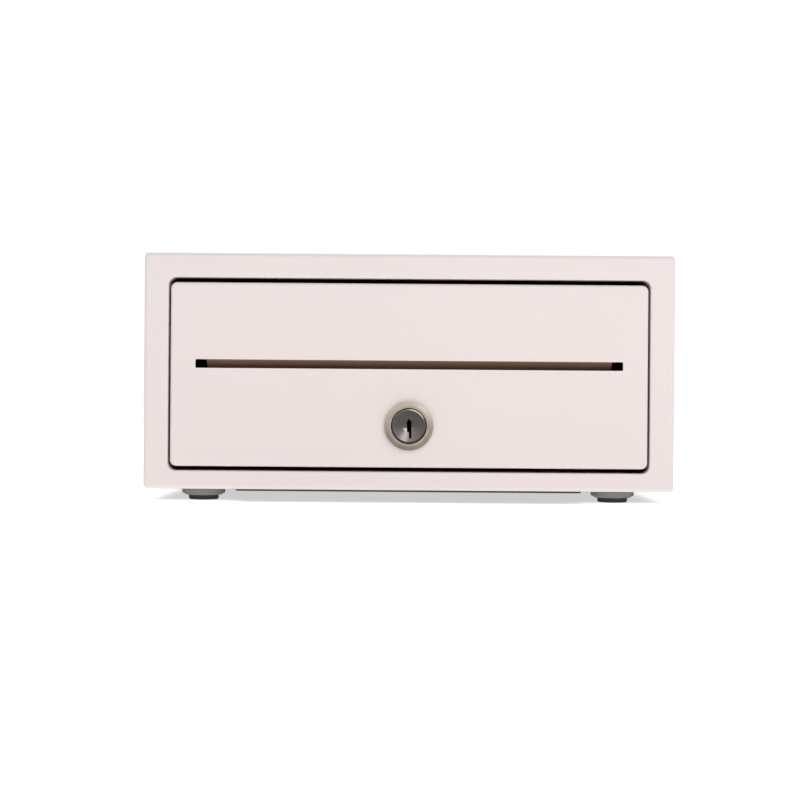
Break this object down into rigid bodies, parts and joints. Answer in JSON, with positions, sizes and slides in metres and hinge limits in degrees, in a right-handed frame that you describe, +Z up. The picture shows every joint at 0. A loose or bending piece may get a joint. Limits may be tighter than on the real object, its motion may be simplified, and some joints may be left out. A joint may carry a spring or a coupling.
{
  "type": "cash drawer",
  "caption": "Small steel cash drawer with key lock, media slot, ball slides, till tray with bill clips and coin cups, latch, solenoid and ejector.",
  "frame": {"origin": "bottom centre of the whole object's box, on the surface it stands on", "axes": "+Z up, +X to the right seen from the front, the drawer's front faces -Y and it opens towards -Y"},
  "size_m": [0.25, 0.305, 0.1175],
  "materials": {
    "case_paint": "satin off-white powder coat",
    "inner_paint": "matt black powder coat",
    "baffle_paint": "matt brown paint",
    "zinc_steel": "bright zinc plate",
    "screw_steel": "zinc-plated fastener",
    "lock_nickel": "bright nickel plate",
    "plug_steel": "turned steel",
    "cup_plastic": "moulded grey plastic",
    "pad_rubber": "black rubber",
    "till_plastic": "textured black moulding",
    "bobbin_plastic": "natural nylon",
    "coil_copper": "enamelled copper winding",
    "switch_plastic": "black phenolic",
    "board_green": "solder-masked board",
    "contact_gold": "gold plate",
    "lead_jacket": "PVC lead insulation"
  },
  "bodies": {
    "casing": {"cover_shell": "case_paint", "base_plate": "inner_paint", "rear_panel": "case_paint", "case_screws": "screw_steel", "foot_cups": "cup_plastic", "foot_pads": "pad_rubber", "foot_screws": "screw_steel", "slide_bracket_left": "zinc_steel", "slide_bracket_right": "zinc_steel", "slide_outer_left": "zinc_steel", "slide_outer_right": "zinc_steel", "slide_rivets": "screw_steel", "slide_bumpers": "pad_rubber", "latch_bracket": "zinc_steel", "latch_pivot_pin": "screw_steel", "solenoid_frame": "zinc_steel", "solenoid_bobbin": "bobbin_plastic", "solenoid_coil": "coil_copper", "actuator_screws": "screw_steel", "plunger_spring": "screw_steel", "microswitch_bracket": "zinc_steel", "microswitch_body": "switch_plastic", "ejector_bracket": "zinc_steel", "ejector_spring": "screw_steel", "interface_socket": "switch_plastic", "socket_contacts": "contact_gold", "socket_board": "board_green", "board_posts": "screw_steel", "wire_harness": "lead_jacket"},
    "drawer": {"drawer_front": "case_paint", "front_rivets": "screw_steel", "slot_baffle": "baffle_paint", "drawer_pan": "inner_paint", "inner_slide_rivets": "screw_steel", "striker": "zinc_steel", "till_rails": "zinc_steel", "slide_inner_left": "zinc_steel", "slide_inner_right": "zinc_steel", "lock_barrel": "lock_nickel", "lock_nut": "screw_steel"},
    "till": {"till_tray": "till_plastic", "bill_dividers": "till_plastic", "coin_cups": "till_plastic", "clip_rod": "screw_steel", "clip_springs": "screw_steel"},
    "clip_left": {"bill_clip_left": "zinc_steel"},
    "clip_middle": {"bill_clip_middle": "zinc_steel"},
    "clip_right": {"bill_clip_right": "zinc_steel"},
    "lock": {"lock_plug": "plug_steel", "lock_cam": "zinc_steel", "lock_cam_screw": "screw_steel"},
    "cage_left": {"slide_cage_left": "zinc_steel", "slide_balls_left": "screw_steel"},
    "cage_right": {"slide_cage_right": "zinc_steel", "slide_balls_right": "screw_steel"},
    "latch": {"latch_lever": "zinc_steel"},
    "plunger": {"solenoid_plunger": "screw_steel"},
    "switch_lever": {"microswitch_lever": "zinc_steel"},
    "ejector": {"ejector_pusher": "zinc_steel", "ejector_cap": "pad_rubber"}
  },
  "joints": [
    {"name": "drawer_slide", "type": "slide", "parent": "casing", "child": "drawer", "axis": [0, -1, 0], "range_m": [0, 0.19]},
    {"name": "cage_left_slide", "type": "slide", "parent": "casing", "child": "cage_left", "axis": [0, -1, 0], "range_m": [0, 0.0955]},
    {"name": "cage_right_slide", "type": "slide", "parent": "casing", "child": "cage_right", "axis": [0, -1, 0], "range_m": [0, 0.0955]},
    {"name": "till_lift", "type": "slide", "parent": "drawer", "child": "till", "axis": [0, 0, 1], "range_m": [0, 0.008]},
    {"name": "clip_left_lift", "type": "hinge", "parent": "till", "child": "clip_left", "pos_m": [-0.06767, 0.0907, 0.082], "axis": [-1, 0, 0], "range_deg": [0, 40], "stiffness_Nm_per_rad": 0.03, "springref_deg": -20.05},
    {"name": "clip_middle_lift", "type": "hinge", "parent": "till", "child": "clip_middle", "pos_m": [0, 0.0907, 0.082], "axis": [-1, 0, 0], "range_deg": [0, 40], "stiffness_Nm_per_rad": 0.03, "springref_deg": -20.05},
    {"name": "clip_right_lift", "type": "hinge", "parent": "till", "child": "clip_right", "pos_m": [0.06767, 0.0907, 0.082], "axis": [-1, 0, 0], "range_deg": [0, 40], "stiffness_Nm_per_rad": 0.03, "springref_deg": -20.05},
    {"name": "lock_turn", "type": "hinge", "parent": "drawer", "child": "lock", "pos_m": [0, -0.1393, 0.0366], "axis": [0, 1, 0], "range_deg": [0, 90]},
    {"name": "latch_pivot", "type": "hinge", "parent": "casing", "child": "latch", "pos_m": [0, 0.1277, 0.054], "axis": [1, 0, 0], "range_deg": [0, 20]},
    {"name": "plunger_slide", "type": "slide", "parent": "casing", "child": "plunger", "axis": [0, 0, 1], "range_m": [0, 0.0034], "deforming": ["plunger_spring"]},
    {"name": "switch_press", "type": "hinge", "parent": "casing", "child": "switch_lever", "pos_m": [-0.045, 0.1131, 0.026], "axis": [-1, 0, 0], "range_deg": [0, 14], "stiffness_Nm_per_rad": 0.01},
    {"name": "ejector_push", "type": "slide", "parent": "casing", "child": "ejector", "axis": [0, 1, 0], "range_m": [0, 0.007], "stiffness_N_per_m": 400, "deforming": ["ejector_spring"]}
  ],
  "couplings": [
    {"joint": "cage_left_slide", "follows": "drawer_slide", "ratio": 0.5},
    {"joint": "cage_right_slide", "follows": "drawer_slide", "ratio": 0.5},
    {"joint": "latch_pivot", "follows": "plunger_slide", "rad_per_m": 102.6}
  ]
}
